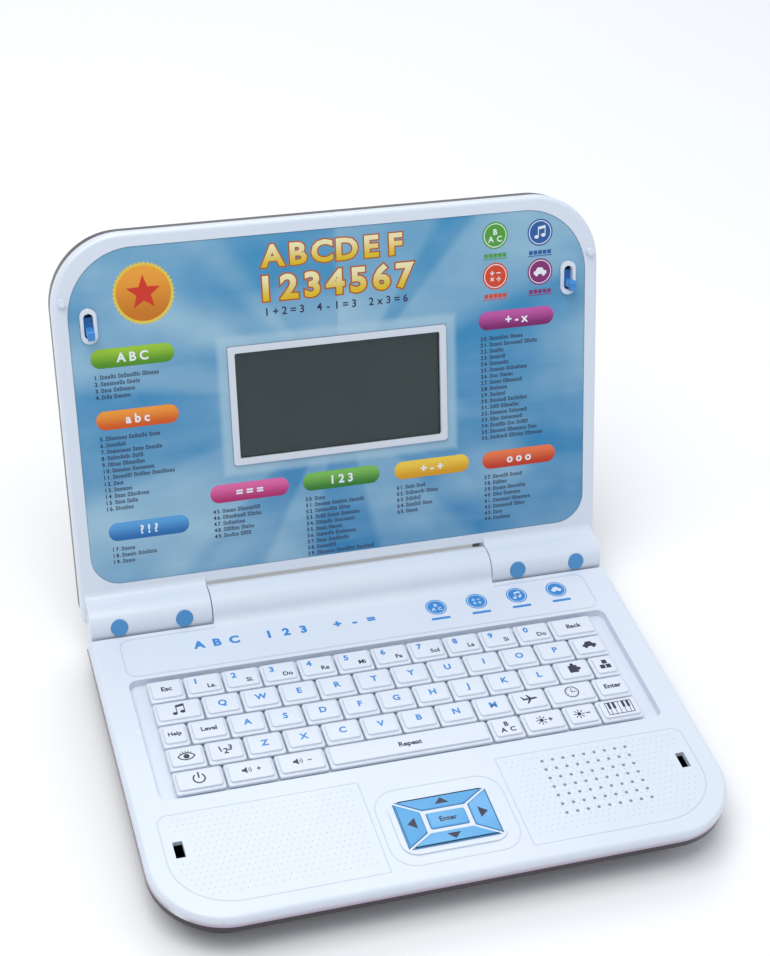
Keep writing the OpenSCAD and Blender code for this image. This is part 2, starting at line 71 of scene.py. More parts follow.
def add(material, kind, inputs=None, **settings):
    """Adds one node; an input is a value, or another node's output to link from."""
    node = material.node_tree.nodes.new(kind)
    for key, value in settings.items():
        setattr(node, key, value)
    for key, value in (inputs or {}).items():
        if isinstance(value, bpy.types.NodeSocket):
            material.node_tree.links.new(value, node.inputs[key])
        else:
            node.inputs[key].default_value = value
    return node


def start_material(name):
    """An empty surface: its material and the shader that the finish is set on."""
    material = bpy.data.materials.new(name)
    material.use_nodes = True
    return material, material.node_tree.nodes["Principled BSDF"]


# Matt painted studio board: nearly no gloss, with very faint large mottling.
studio_board, shader = start_material("matt_painted_board")
place = add(studio_board, "ShaderNodeTexCoord")
mottle = add(studio_board, "ShaderNodeTexNoise", {"Vector": place.outputs["Object"], "Scale": 3.0})
tint = add(studio_board, "ShaderNodeMix", {0: mottle.outputs[0], 6: linear("#FAFAFB"),
                                           7: linear("#FFFFFF")}, data_type="RGBA")
studio_board.node_tree.links.new(tint.outputs[2], shader.inputs["Base Color"])
shader.inputs["Roughness"].default_value = 0.9

floor_mesh = bpy.data.meshes.new("floor")
floor_mesh.from_pydata([(-20, -20, 0), (20, -20, 0), (20, 20, 0), (-20, 20, 0)], [], [(0, 1, 2, 3)])
floor_mesh.materials.append(studio_board)
floor = bpy.data.objects.new("floor", floor_mesh)
floor.location.z = -0.0002
bpy.context.collection.objects.link(floor)

world = bpy.data.worlds.new("pale_room")
world.use_nodes = True
world.node_tree.nodes["Background"].inputs["Color"].default_value = linear("#EEF3FA")
world.node_tree.nodes["Background"].inputs["Strength"].default_value = 0.5
bpy.context.scene.world = world
bpy.context.scene.view_settings.view_transform = "Standard"

for name, spot, aim, size, watts, colour in (
        ("soft_box", (-0.45, -0.15, 1.6), (0, 0, 0.05), 1.2, 16.0, "#FFFFFF"),
        ("fill_box", (1.3, -0.6, 1.1), (0, 0, 0.05), 1.0, 3.5, "#E8F0FF"),
        ("back_box", (0.2, 1.2, 1.5), (0, 0, 0.05), 1.0, 7.0, "#FFFFFF")):
    lamp = bpy.data.lights.new(name, "AREA")
    lamp.size = size
    lamp.energy = watts
    lamp.color = linear(colour)[:3]
    holder = bpy.data.objects.new(name, lamp)
    holder.location = spot
    holder.rotation_euler = (Vector(spot) - Vector(aim)).to_track_quat("Z", "Y").to_euler()
    bpy.context.collection.objects.link(holder)


# ---------------------------------------------------------------- bottom tub
# The lower half of the base: a plum ABS tub with rounded belly edges,
# moulded in one shot and screwed up into the white deck. It is drawn near-black,
# so the shade under the deck is painted into its colour.
def moulded_plastic(name, colour, shade, gloss_roughness, grain_mm, grain_depth_mm):
    """Injection-moulded plastic. The tint drifts a little over 45 mm where the melt flowed,
    the roughness by a hundredth or two over 9 mm, and the mould's own grain stands in the bump."""
    material, shader = start_material(name)
    where = add(material, "ShaderNodeTexCoord")
    flow = add(material, "ShaderNodeTexNoise", {"Vector": where.outputs["Object"],
                                                "Scale": 1 / 0.045, "Detail": 2.0})
    tint = add(material, "ShaderNodeMix", {0: flow.outputs[0], 6: linear(colour),
                                           7: linear(shade)}, data_type="RGBA")
    wipe = add(material, "ShaderNodeTexNoise", {"Vector": where.outputs["Object"],
                                                "Scale": 1 / 0.009, "Detail": 1.0})
    dull = add(material, "ShaderNodeMapRange", {0: wipe.outputs[0], 1: 0.2, 2: 0.8,
                                                3: gloss_roughness - 0.015, 4: gloss_roughness + 0.015})
    grain = add(material, "ShaderNodeTexNoise", {"Vector": where.outputs["Object"],
                                                 "Scale": 1000 / grain_mm, "Detail": 1.0})
    relief = add(material, "ShaderNodeBump", {"Height": grain.outputs[0], "Strength": 1.0,
                                              "Distance": grain_depth_mm / 1000})
    links = material.node_tree.links
    links.new(tint.outputs[2], shader.inputs["Base Color"])
    links.new(dull.outputs[0], shader.inputs["Roughness"])
    links.new(relief.outputs[0], shader.inputs["Normal"])
    shader.inputs["IOR"].default_value = 1.53
    return material


def finish_cad(node, material):
    """Gives a CAD solid that keeps its shape the material it is made of."""
    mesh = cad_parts[node].data
    for i in range(max(1, len(mesh.materials))):
        if i < len(mesh.materials):
            mesh.materials[i] = material
        else:
            mesh.materials.append(material)


# Plum ABS from a lightly spark-eroded mould: near-black with painted shade, satin, 0.8 mm grain drawn so it
# shows.
plum_abs = moulded_plastic("plum_abs", "#1C0C18", "#26121F", 0.32, 0.8, 0.008)
finish_cad("base_bottom_shell", plum_abs)
finish_cad("battery_door", plum_abs)

# Rubber foot discs: black, matt, slightly dusty.
foot_rubber = moulded_plastic("black_foot_rubber", "#17171A", "#222226", 0.72, 0.7, 0.02)
finish_cad("feet", foot_rubber)


# ---------------------------------------------------------------- screws
# Self-tapping steel screws, bright zinc plated, that hold both pairs of shells
# together. The hinge pin, hinge tube and battery contacts have the same plating.
def plated_steel(name, colour, roughness):
    """Zinc-plated steel: fully metallic, with soft plating blotches of about 2 mm."""
    material, shader = start_material(name)
    where = add(material, "ShaderNodeTexCoord")
    blotch = add(material, "ShaderNodeTexNoise", {"Vector": where.outputs["Object"],
                                                  "Scale": 500.0, "Detail": 2.0})
    dull = add(material, "ShaderNodeMapRange", {0: blotch.outputs[0], 1: 0.3, 2: 0.7,
                                                3: roughness - 0.06, 4: roughness + 0.08})
    material.node_tree.links.new(dull.outputs[0], shader.inputs["Roughness"])
    shader.inputs["Base Color"].default_value = linear(colour)
    shader.inputs["Metallic"].default_value = 1.0
    return material


zinc_steel = plated_steel("zinc_plated_steel", "#B9BABD", 0.32)
for node in ("base_screws", "lid_screws", "hinge_pin_left", "hinge_tube_right", "battery_contacts"):
    finish_cad(node, zinc_steel)


# ---------------------------------------------------------------- inside parts
# What lies between the two shells: three AA cells, the circuit boards, the
# silicone dome sheets, the loudspeaker with its clamp and the flat cable.
cell_sleeve = moulded_plastic("printed_cell_sleeve", "#3C7A4A", "#2F6A40", 0.3, 2.0, 0.004)
finish_cad("batteries", cell_sleeve)
circuit_board = moulded_plastic("green_solder_mask", "#1F5A3A", "#27704A", 0.35, 1.2, 0.01)
for node in ("main_board", "lcd_board"):
    finish_cad(node, circuit_board)
silicone = moulded_plastic("grey_silicone_rubber", "#B8BCC2", "#C6CAD0", 0.6, 1.0, 0.01)
for node in ("dome_sheet", "pad_dome_sheet"):
    finish_cad(node, silicone)
speaker_paper = moulded_plastic("pressed_speaker_paper", "#2C2C2E", "#3A3A3D", 0.8, 0.5, 0.03)
for node in ("speaker", "speaker_clamp"):
    finish_cad(node, speaker_paper)
cable_sleeve = moulded_plastic("pvc_ribbon_cable", "#1C1C1E", "#26262A", 0.45, 1.0, 0.005)
for node in ("cable_base", "cable_lid"):
    finish_cad(node, cable_sleeve)


# ---------------------------------------------------------------- top deck
# The white upper half of the base: deck, keyboard well, pad plinth and hinge
# barrel in one glossy ABS moulding. Its edges are softened by the mould.
def make_piece(source, name, body, materials, sharp=40.0):
    """Turns a bmesh or mesh into a piece that rides on a body, smooth but for its sharp edges."""
    if isinstance(source, bmesh.types.BMesh):
        mesh = bpy.data.meshes.new(name)
        source.to_mesh(mesh)
        source.free()
    else:
        mesh = source
    for material in materials:
        mesh.materials.append(material)
    mesh.shade_smooth()
    mesh.set_sharp_from_angle(angle=math.radians(sharp))
    piece = bpy.data.objects.new(name, mesh)
    bpy.context.collection.objects.link(piece)
    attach(piece, body)
    return piece


def softened(node, name, body, material, edge_mm):
    """The CAD solid's own shape with its mould-made edges rounded by edge_mm."""
    shell = bmesh.new()
    shell.from_mesh(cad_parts[node].data)
    bmesh.ops.remove_doubles(shell, verts=shell.verts, dist=1e-6)
    bmesh.ops.dissolve_limit(shell, angle_limit=math.radians(0.4), verts=shell.verts,
                             edges=shell.edges)
    edges = [e for e in shell.edges if len(e.link_faces) == 2
             and e.calc_face_angle(0) > math.radians(50)]
    bmesh.ops.bevel(shell, geom=edges, offset=edge_mm / 1000, offset_type="OFFSET",
                    segments=2, profile=0.5, affect="EDGES", clamp_overlap=True)
    bmesh.ops.triangulate(shell, faces=[f for f in shell.faces if len(f.verts) > 4])
    piece = make_piece(shell, name, body, [material], 32)
    level = piece.modifiers.new("flat_faces_stay_flat", "WEIGHTED_NORMAL")
    level.keep_sharp = True
    level.weight = 90
    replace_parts(piece, node)
    return piece


# Glossy white ABS: cool white, a little orange peel from the polished mould (drawn 3 mm wide).
white_look = ("#D9E2EE", "#E1E8F2", 0.26, 3.0, 0.002)
white_abs = moulded_plastic("gloss_white_abs", *white_look)

# A mauve tint is painted on the skirt of the deck: a painted reflection of a reddish surface below,
# with painted shade towards the parting line. It fades out upwards over the skirt and inwards
# behind the outer wall.
skirt_foot, skirt_head = 0.0184, 0.0225
wall_inside, wall_outside = 0.1215, 0.1245
deck_abs = moulded_plastic("gloss_white_abs_deck", *white_look)
shader = deck_abs.node_tree.nodes["Principled BSDF"]
plain = shader.inputs["Base Color"].links[0].from_socket
where = add(deck_abs, "ShaderNodeTexCoord")
split = add(deck_abs, "ShaderNodeSeparateXYZ", {"Vector": where.outputs["Object"]})
height = add(deck_abs, "ShaderNodeMapRange", {0: split.outputs[2], 1: skirt_foot, 2: skirt_head,
                                              3: 0.8, 4: 0.0}, interpolation_type="SMOOTHSTEP")
sideways = add(deck_abs, "ShaderNodeMath", {0: split.outputs[0]}, operation="ABSOLUTE")
forward = add(deck_abs, "ShaderNodeMath", {0: split.outputs[1], 1: -1.0}, operation="MULTIPLY")
outermost = add(deck_abs, "ShaderNodeMath", {0: sideways.outputs[0], 1: forward.outputs[0]},
                operation="MAXIMUM")
rim = add(deck_abs, "ShaderNodeMapRange", {0: outermost.outputs[0], 1: wall_inside,
                                           2: wall_outside, 3: 0.0, 4: 1.0})
painted_reflection_amount = add(deck_abs, "ShaderNodeMath", {0: height.outputs[0], 1: rim.outputs[0]}, operation="MULTIPLY")
# Painted reflection and shade: the white is mixed towards mauve near the foot of the skirt.
painted_reflection_tint = add(deck_abs, "ShaderNodeMix", {0: painted_reflection_amount.outputs[0], 6: plain, 7: linear("#A98AA6")},
             data_type="RGBA")
deck_abs.node_tree.links.new(painted_reflection_tint.outputs[2], shader.inputs["Base Color"])
softened("base_top_shell", "deck_shell", "base", deck_abs, 0.25)

MM = 0.001
hinge_y = 0.04814
hinge_z = 0.025
# Deck print and pieces are drawn in millimetres: x right, y towards the hinge, z from the feet.
deck_place = Matrix.Translation((0, hinge_y, 0)) @ Matrix.Scale(MM, 4)
deck_top = 24.6
pad_y = -149.4
latch_x = 114.5


def rounded_box(w, d, r, x=0.0, y=0.0, steps=6):
    """The outline of a rectangle with round corners, in millimetres."""
    points = []
    for cx, cy, start in ((w / 2 - r, d / 2 - r, 0), (-w / 2 + r, d / 2 - r, 90),
                          (-w / 2 + r, -d / 2 + r, 180), (w / 2 - r, -d / 2 + r, 270)):
        for i in range(steps + 1):
            a = math.radians(start + 90 * i / steps)
            points.append((x + cx + r * math.cos(a), y + cy + r * math.sin(a)))
    return points


def disc(x, y, rx, ry=None, n=24):
    """The outline of a circle, or of an ellipse if ry is given."""
    ry = rx if ry is None else ry
    return [(x + rx * math.cos(2 * math.pi * i / n), y + ry * math.sin(2 * math.pi * i / n))
            for i in range(n)]


def bar(x0, y0, x1, y1, w):
    """The outline of a straight stroke of width w, with square ends past both points."""
    along = Vector((x1 - x0, y1 - y0)).normalized() * (w / 2)
    side = Vector((-along.y, along.x))
    return [(x0 - along.x - side.x, y0 - along.y - side.y),
            (x1 + along.x - side.x, y1 + along.y - side.y),
            (x1 + along.x + side.x, y1 + along.y + side.y),
            (x0 - along.x + side.x, y0 - along.y + side.y)]


def moved(points, x, y, size=1.0):
    """The outline enlarged by size and moved to x, y."""
    return [(x + px * size, y + py * size) for px, py in points]


def slab(sheet, outline, place, top, thick, ink=0, hole=None):
    """A thin closed slab with that outline, and a hole of as many points if there is one."""
    rings = [outline] if hole is None else [outline, hole]
    high = [[sheet.verts.new(place @ Vector((x, y, top))) for x, y in ring] for ring in rings]
    low = [[sheet.verts.new(place @ Vector((x, y, top - thick))) for x, y in ring] for ring in rings]
    faces = []
    n = len(outline)
    for i in range(n):
        j = (i + 1) % n
        faces.append((low[0][i], low[0][j], high[0][j], high[0][i]))
        if hole is not None:
            faces.append((high[1][i], high[1][j], low[1][j], low[1][i]))
            faces.append((high[0][i], high[0][j], high[1][j], high[1][i]))
            faces.append((low[0][j], low[0][i], low[1][i], low[1][j]))
    if hole is None:
        faces.append(high[0])
        faces.append(low[0][::-1])
    for corners in faces:
        sheet.faces.new(corners).material_index = ink


# Each letter's mesh is made once, kept here and copied wherever it is printed.
word_meshes = {}


def word(sheet, text, x, y, height, place, top, ink=0, heavy=0.02, turn=0.0, wide=1.0, thick=0.05):
    """One printed letter, numeral or label, height mm tall in capitals and centred on x, y."""
    if (text, heavy) not in word_meshes:
        curve = bpy.data.curves.new("word", "FONT")
        curve.body = text
        curve.align_x = "CENTER"
        curve.offset = heavy
        curve.extrude = 0.5
        curve.resolution_u = 3
        holder = bpy.data.objects.new("word", curve)
        bpy.context.collection.objects.link(holder)
        bpy.context.view_layer.update()
        shaped = holder.evaluated_get(bpy.context.evaluated_depsgraph_get())
        word_meshes[(text, heavy)] = bpy.data.meshes.new_from_object(shaped)
        bpy.data.objects.remove(holder)
        bpy.data.curves.remove(curve)
    scale = height / 0.73
    spot = (place @ Matrix.Translation((x, y, top - thick / 2)) @ Matrix.Rotation(turn, 4, "Z")
            @ Matrix.Diagonal((scale * wide, scale, thick, 1)) @ Matrix.Translation((0, -0.365, 0)))
    first_vert, first_face = len(sheet.verts), len(sheet.faces)
    sheet.from_mesh(word_meshes[(text, heavy)])
    sheet.verts.ensure_lookup_table()
    sheet.faces.ensure_lookup_table()
    for i in range(first_vert, len(sheet.verts)):
        sheet.verts[i].co = spot @ sheet.verts[i].co
    for i in range(first_face, len(sheet.faces)):
        sheet.faces[i].material_index = ink


# Pad-printed ink: a thin satin film, even in colour, a shade mottled where the pad lifted.
def printed_ink(name, colour, shade):
    return moulded_plastic(name, colour, shade, 0.35, 0.6, 0.003)


sky_ink = printed_ink("light_blue_ink", "#3A8FD8", "#3286D0")
navy_ink = printed_ink("navy_ink", "#23233F", "#2A2A48")
# Painted shade: the outlines are a greyer white, for the shade in the shallow grooves they stand for.
groove_shade_line = moulded_plastic("gloss_white_abs_painted_groove_shade", "#C6CFDC", "#CDD5E1", 0.3, 2.0, 0.004)
# Painted shade: a greyer white stands for the shade on the floor of each palm-rest dimple.
dimple_shade = moulded_plastic("painted_dimple_shade", "#AEBBD2", "#B8C4D8", 0.4, 1.0, 0.004)


# Pictures for the keys and the round buttons, one or two units across, drawn as outlines.
def note_picture():
    return [disc(-0.55, -0.62, 0.34, 0.26), disc(0.5, -0.42, 0.34, 0.26),
            bar(-0.27, -0.5, -0.27, 0.7, 0.13), bar(0.78, -0.3, 0.78, 0.85, 0.13),
            [(-0.33, 0.42), (0.84, 0.6), (0.84, 1.0), (-0.33, 0.82)]]


def car_picture():
    return [[(-1, -0.35), (1, -0.35), (1.0, 0.1), (0.62, 0.18), (0.34, 0.62), (-0.42, 0.62),
             (-0.7, 0.15), (-1, 0.05)], disc(-0.55, -0.4, 0.24), disc(0.55, -0.4, 0.24)]


def sums_picture():
    return [bar(-0.75, 0.45, -0.25, 0.45, 0.15), bar(-0.5, 0.2, -0.5, 0.7, 0.15),
            bar(0.25, 0.45, 0.75, 0.45, 0.15), bar(-0.68, -0.63, -0.32, -0.27, 0.15),
            bar(-0.68, -0.27, -0.32, -0.63, 0.15), bar(0.25, -0.45, 0.75, -0.45, 0.15),
            disc(0.5, -0.2, 0.1, n=12), disc(0.5, -0.7, 0.1, n=12)]


def draw(sheet, shapes, x, y, size, place, top, ink, thick=0.05):
    """Prints a picture's outlines, each a hair above the last so that none fight."""
    for i, shape in enumerate(shapes):
        slab(sheet, moved(shape, x, y, size), place, top + 0.003 * i, thick, ink)


# Four round prints near the hinge, each with a bar under it, and a plain title line of
# letters, numerals and signs beside them.
deck_print = bmesh.new()
for i, sign in enumerate("ABC 123 +-="):
    if sign != " ":
        word(deck_print, sign, -80 + i * 8.4, -23.8, 4.6, deck_place, deck_top + 0.02, 0, 0.05, 0.0, 1.1)
round_y = -22.6
for i in range(4):
    x = 37.3 + 20.8 * i
    slab(deck_print, disc(x, round_y, 5.2, n=40), deck_place, deck_top + 0.02, 0.05, 0)
    slab(deck_print, disc(x, round_y, 4.6, n=40), deck_place, deck_top + 0.04, 0.02, 1,
         disc(x, round_y, 4.25, n=40))
    if i == 0:
        for letter, dx, dy in (("A", -1.6, -1.2), ("B", 0, 1.4), ("C", 1.6, -1.2)):
            word(deck_print, letter, x + dx, round_y + dy, 2.0, deck_place, deck_top + 0.05, 1, 0.03)
    else:
        picture = (sums_picture, note_picture, car_picture)[i - 1]()
        draw(deck_print, picture, x, round_y, 2.6, deck_place, deck_top + 0.045, 1)
    slab(deck_print, rounded_box(9.5, 1.5, 0.3, x, -30.4), deck_place, deck_top + 0.02, 0.05, 0)
make_piece(deck_print, "deck_print", "base", [sky_ink, white_abs])

# Fine raised lines in the white plastic frame the round prints, the pad and both palm rests. They stand
# for shallow grooves, and their greyer colour is the grooves' painted shade.
outline_frame = bmesh.new()
slab(outline_frame, rounded_box(233, 24.6, 5, 0, -26.2, 8), deck_place, deck_top + 0.1, 0.2, 0,
     rounded_box(231.8, 23.4, 4.4, 0, -26.2, 8))
slab(outline_frame, rounded_box(58.4, 42, 11, 0, pad_y, 8), deck_place, deck_top + 0.1, 0.2, 0,
     rounded_box(57.4, 41, 10.5, 0, pad_y, 8))
inner = 31.5
for side in (-1, 1):
    palm = [(inner, -121), (118, -121), (121, -124), (121, -146)]
    palm += [(93 + 28 * math.cos(math.radians(a)), -146 - 25 * math.sin(math.radians(a)))
             for a in range(8, 90, 8)]
    palm += [(93, -171), (inner, -171)]
    centre = Vector((75, -146))
    inset = []
    for p in palm:
        toward = (centre - Vector(p)).normalized() * 0.55
        inset.append((p[0] + toward.x, p[1] + toward.y))
    if side < 0:
        palm = [(-x, y) for x, y in palm][::-1]
        inset = [(-x, y) for x, y in inset][::-1]
    slab(outline_frame, palm[::-1], deck_place, deck_top + 0.1, 0.2, 0, inset[::-1])
bmesh.ops.recalc_face_normals(outline_frame, faces=outline_frame.faces)
make_piece(outline_frame, "deck_outlines", "base", [groove_shade_line])

# Staggered rows of fine dimples in both palm rests, drawn as flush discs in painted shade where their
# floors would lie. They keep inside the rounded front corner and clear of the latch slots and the
# loudspeaker's holes.
dimples = bmesh.new()
pitch = 2.9
speaker_x, speaker_y, hole_pitch = 52, -157, 5
for side in (-1, 1):
    for row in range(15):
        for column in range(28):
            x = 36 + column * pitch + (pitch / 2 if row % 2 else 0)
            y = -124.5 - row * pitch
            past_corner = x > 93 and y < -146 and math.hypot((x - 93) / 25.5, (y + 146) / 22.5) > 1
            in_slot = abs(x - latch_x) < 5 and abs(y + 140) < 7.5
            hole_x = speaker_x + hole_pitch * round((x - speaker_x) / hole_pitch)
            hole_y = speaker_y + hole_pitch * round((y - speaker_y) / hole_pitch)
            at_hole = (side > 0 and 50 < hole_x < 94 and -159 < hole_y < -125
                       and math.hypot(x - hole_x, y - hole_y) < 1.3)
            if x > 117.5 or past_corner or in_slot or at_hole:
                continue
            slab(dimples, disc(side * x, y, 0.3, n=8), deck_place, deck_top + 0.012, 0.05, 0)
make_piece(dimples, "palm_dimples", "base", [dimple_shade])


# ---------------------------------------------------------------- keys
# White ABS key caps on a silicone dome sheet: a low skirt, a raised flat top with rounded
# edges, and a stem with two barbs that snaps through the floor of the well.
def loft(shell, rings, place):
    """Joins rings of points with quads, closes both ends, lowest ring first."""
    loops = [[shell.verts.new(place @ Vector(p)) for p in ring] for ring in rings]
    n = len(loops[0])
    for lower, upper in zip(loops, loops[1:]):
        for i in range(n):
            j = (i + 1) % n
            shell.faces.new((lower[i], lower[j], upper[j], upper[i]))
    shell.faces.new(loops[-1])
    shell.faces.new(loops[0][::-1])


def block(shell, low, high, place):
    """A plain box between two opposite corners."""
    (x0, y0, z0), (x1, y1, z1) = low, high
    loft(shell, [[(x0, y0, z), (x1, y0, z), (x1, y1, z), (x0, y1, z)] for z in (z0, z1)], place)


# Five rows, from the hinge to the palm rests; x0 and x1 of a key are the middles of its gaps.
row_y = [-49.05, -62.85, -76.65, -90.45, -104.25]
key_gap = 0.9
key_top = 25.2
keys_half = 109.4
key_pitch = 17.9


def key_cap(shell, x0, x1, row):
    """Skirt, step, top and stem of the key that fills x0 to x1 of that row."""
    w, x, y = x1 - x0 - key_gap, (x0 + x1) / 2, row_y[row]
    rings = []
    for width, depth, r, z in (
            (w, 12.9, 1.2, 22.6), (w, 12.9, 1.2, 23.45), (w - 0.12, 12.78, 1.15, 23.68),
            (w - 0.5, 12.4, 1.1, 23.86), (w - 1.7, 11.1, 1.2, 23.94), (w - 2.4, 10.4, 1.4, 24.15),
            (w - 2.42, 10.38, 1.4, 24.8), (w - 2.6, 10.2, 1.3, 25.04), (w - 3.05, 9.75, 1.1, 25.17),
            (w - 3.8, 9.0, 0.9, key_top)):
        rings.append([(px, py, z) for px, py in rounded_box(width, depth, r, x, y, 4)])
    loft(shell, rings, deck_place)
    block(shell, (x - 3, y - 2.5, 15.9), (x + 3, y + 2.5, 22.7), deck_place)
    block(shell, (x - 4.2, y - 2.5, 17.2), (x + 4.2, y + 2.5, 18.75), deck_place)


def key_label(sheet, text, x, row, height=2.5, dx=0.0, dy=0.0, ink=1, heavy=0.038, wide=1.08):
    """One printed label, dx and dy mm off the middle of a key."""
    word(sheet, text, x + dx, row_y[row] + dy, height, deck_place, key_top + 0.02, ink, heavy, 0.0, wide)


def key_ink(sheet, outline, lift=0.02, hole=None):
    """One printed navy patch, lift mm above the key tops."""
    slab(sheet, outline, deck_place, key_top + lift, 0.05, 1, hole)


def keys(node, spans, labels):
    """One moulded row or single key, its print, and the body that they are pressed with."""
    caps, sheet = bmesh.new(), bmesh.new()
    for x0, x1, row in spans:
        key_cap(caps, x0, x1, row)
    for i, (x0, x1, row) in enumerate(spans):
        labels(sheet, i, (x0 + x1) / 2, row)
    piece = make_piece(caps, node + "_caps", node + "_body", [key_abs], 40)
    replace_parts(piece, node)
    make_piece(sheet, node + "_print", node + "_body", [sky_ink, navy_ink])


# Satin white ABS: the key tops are a shade duller than the deck, from a finely blasted mould.
key_abs = moulded_plastic("satin_white_abs", "#DCE4EF", "#E4EAF3", 0.34, 1.2, 0.008)

sol_fa = ("La.", "Si.", "Do", "Re", "Mi", "Fa", "Sol", "La", "Si", "Do")


def number_print(sheet, i, x, row):
    key_label(sheet, "1234567890"[i], x, row, 3.2, -3.6, 1.9, 0)
    key_label(sheet, sol_fa[i], x, row, 2.5, 3.2, -1.9, 1, 0.028)


def letter_print(letters):
    return lambda sheet, i, x, row: key_label(sheet, letters[i], x, row, 3.3, 0, 0.2, 0)


def word_print(text, height=2.6):
    return lambda sheet, i, x, row: key_label(sheet, text, x, row, height, 0, 0, 1, 0.034)


def picture_print(shapes, size):
    return lambda sheet, i, x, row: draw(sheet, shapes, x, row_y[row], size, deck_place,
                                         key_top + 0.02, 1)


def columns(first, width, count, row):
    return [(first + width * i, first + width * (i + 1), row) for i in range(count)]


keys("number_keys", columns(-92.4, key_pitch, 10, 0), number_print)
keys("top_row_letter_keys", columns(-87.0, key_pitch, 10, 1), letter_print("QWERTYUIOP"))
keys("home_row_letter_keys", columns(-78.5, 17.45, 9, 2), letter_print("ASDFGHJKL"))
keys("bottom_row_letter_keys", columns(-74.3, key_pitch, 7, 3), letter_print("ZXCVBNM"))
keys("esc_key", [(-keys_half, -92.4, 0)], word_print("Esc"))
keys("back_key", [(86.6, keys_half, 0)], word_print("Back"))
keys("help_key", [(-keys_half, -96.4, 2)], word_print("Help", 2.2))
keys("level_key", [(-96.4, -78.5, 2)], word_print("Level", 2.4))
keys("enter_key", [(92.6, keys_half, 3)], word_print("Enter"))
keys("repeat_key", [(-40.6, 35.8, 4)], word_print("Repeat", 2.6))
keys("music_key", [(-keys_half, -87.0, 1)], picture_print(note_picture(), 3.4))
keys("car_key", [(92.0, keys_half, 1)], picture_print(car_picture(), 3.4))

# Puzzle: one jigsaw piece. Blocks: three toy cubes in a heap.
jigsaw = [[(-0.8, -0.7), (0.6, -0.7), (0.6, 0.7), (-0.8, 0.7)], disc(0.75, 0, 0.3, n=16),
          disc(-0.1, 0.85, 0.3, n=16)]
keys("puzzle_key", [(78.55, 96.4, 2)], picture_print(jigsaw, 3.2))
cubes = [rounded_box(0.85, 0.85, 0.06, -0.5, -0.5, 2), rounded_box(0.85, 0.85, 0.06, 0.5, -0.5, 2),
         rounded_box(0.85, 0.85, 0.06, 0.1, 0.5, 2)]
keys("blocks_key", [(96.4, keys_half, 2)], picture_print(cubes, 2.9))

# Eye: an almond rim round a pupil, with lashes above it.
almond = [(1.1 * math.cos(a), 0.62 * math.sin(a) * abs(math.sin(a)) ** 0.4)
          for a in [math.pi * i / 16 for i in range(32)]]


def eye_print(sheet, i, x, row):
    y = row_y[row] - 0.4
    key_ink(sheet, moved(almond, x, y, 3.6), 0.02,
            moved([(px * 0.82, py * 0.72) for px, py in almond], x, y, 3.6))
    key_ink(sheet, disc(x, y, 1.35), 0.025)
    for k in range(-2, 3):
        a = math.radians(90 - 22 * k)
        root, tip = 3.0 * math.sin(a) * 0.9, 4.2 * math.sin(a) * 0.9
        key_ink(sheet, bar(x + 2.6 * math.cos(a), row_y[row] - 0.9 + root,
                           x + 3.6 * math.cos(a), row_y[row] - 0.9 + tip, 0.35))


keys("eye_key", [(-keys_half, -91.9, 3)], eye_print)


def count_print(sheet, i, x, row):
    for text, dx, dy, turn in (("1", -2.4, 0.6, 0.25), ("2", 0.0, -0.8, 0.0), ("3", 2.2, 0.8, -0.25)):
        word(sheet, text, x + dx, row_y[row] + dy, 3.2, deck_place, key_top + 0.02, 1, 0.03, turn)


keys("count_key", [(-91.9, -74.3, 3)], count_print)

airliner = [[(-1.0, -0.12), (0.7, -0.12), (1.1, 0.05), (0.75, 0.2), (-0.9, 0.14)],
            [(-0.1, 0.0), (0.3, 0.0), (-0.35, -0.75), (-0.6, -0.75)],
            [(-0.1, 0.1), (0.25, 0.1), (-0.15, 0.7), (-0.4, 0.7)],
            [(-0.95, 0.05), (-0.7, 0.05), (-0.95, 0.5), (-1.15, 0.5)]]
keys("plane_key", [(51.0, 69.0, 3)], picture_print(airliner, 3.6))


def clock_print(sheet, i, x, row):
    y = row_y[row]
    key_ink(sheet, disc(x, y, 3.4, n=32), 0.02, disc(x, y, 2.9, n=32))
    draw(sheet, [bar(0, 0, 0, 0.62, 0.12), bar(0, 0, 0.5, 0, 0.12), disc(0, 0, 0.12, n=10)],
         x, y, 3.2, deck_place, key_top + 0.02, 1)
    for k in range(12):
        a = math.radians(30 * k)
        key_ink(sheet, disc(x + 2.4 * math.cos(a), y + 2.4 * math.sin(a), 0.2, n=6))


keys("clock_key", [(69.0, 92.6, 3)], clock_print)


def arc_band(r, w, start, stop, n=20):
    """An open ring as one outline, from start to stop degrees."""
    turn = [math.radians(start + (stop - start) * i / n) for i in range(n + 1)]
    return ([((r + w / 2) * math.cos(a), (r + w / 2) * math.sin(a)) for a in turn]
            + [((r - w / 2) * math.cos(a), (r - w / 2) * math.sin(a)) for a in turn[::-1]])


keys("power_key", [(-keys_half, -86.6, 4)],
     picture_print([arc_band(0.8, 0.22, -235, 55), bar(0, 0.15, 0, 1.0, 0.22)], 3.2))


def speaker_picture(sign):
    shapes = [[(-1.5, -0.25), (-1.15, -0.25), (-0.6, -0.7), (-0.6, 0.7), (-1.15, 0.25), (-1.5, 0.25)],
              arc_band(0.35, 0.14, -50, 50, 8), arc_band(0.7, 0.14, -50, 50, 8),
              bar(1.15, 0, 1.65, 0, 0.2)]
    shapes[1] = moved(shapes[1], -0.6, 0)
    shapes[2] = moved(shapes[2], -0.6, 0)
    return shapes + ([bar(1.4, -0.25, 1.4, 0.25, 0.2)] if sign > 0 else [])


def sun_picture(sign):
    shapes = [disc(-0.5, 0, 0.36, n=16)]
    for k in range(8):
        a = math.radians(45 * k)
        shapes.append(bar(-0.5 + 0.55 * math.cos(a), 0.55 * math.sin(a),
                          -0.5 + 0.85 * math.cos(a), 0.85 * math.sin(a), 0.16))
    shapes.append(bar(0.75, 0, 1.25, 0, 0.2))
    return shapes + ([bar(1.0, -0.25, 1.0, 0.25, 0.2)] if sign > 0 else [])


